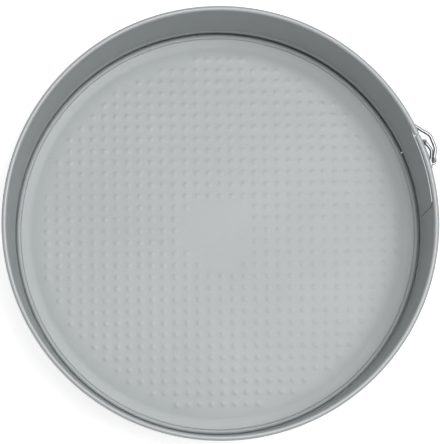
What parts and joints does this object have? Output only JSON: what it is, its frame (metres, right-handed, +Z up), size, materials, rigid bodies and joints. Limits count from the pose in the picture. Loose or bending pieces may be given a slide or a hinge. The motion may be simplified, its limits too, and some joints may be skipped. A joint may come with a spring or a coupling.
{
  "type": "round cake tin",
  "caption": "Round springform cake tin: a sprung ring with a rolled rim, closed by an over-centre wire clasp, on a loose pressed base.",
  "frame": {"origin": "on the tin's axis, in the plane of the foot that it stands on", "axes": "+Z up along the tin's axis, +X from the axis towards the clasp"},
  "size_m": [0.276, 0.2668, 0.068],
  "materials": {
    "coated_steel": "satin grey non-stick coating on steel sheet",
    "coated_base": "satin grey non-stick coating on steel sheet",
    "coated_plate": "satin grey coating on pressed steel",
    "bright_wire": "drawn bright steel wire"
  },
  "bodies": {
    "shell": {"ring": "coated_steel", "lever_bracket": "coated_plate", "keeper": "coated_plate"},
    "base": {"base_disc": "coated_base"},
    "lever": {"clasp_lever": "bright_wire"},
    "link": {"clasp_link": "bright_wire"}
  },
  "joints": [
    {"name": "base_lift", "type": "slide", "parent": "shell", "child": "base", "axis": [0, 0, 1], "range_m": [0, 0.075]},
    {"name": "lever_hinge", "type": "hinge", "parent": "shell", "child": "lever", "pos_m": [0.13739, 0.00189, 0.036], "axis": [0, 0, 1], "range_deg": [0, 140]},
    {"name": "link_hinge", "type": "hinge", "parent": "lever", "child": "link", "pos_m": [0.13773, -0.01142, 0.036], "axis": [0, 0, 1], "range_deg": [-182, 0]}
  ],
  "couplings": [
    {"joint": "link_hinge", "follows": "lever_hinge", "ratio": -1.3}
  ]
}
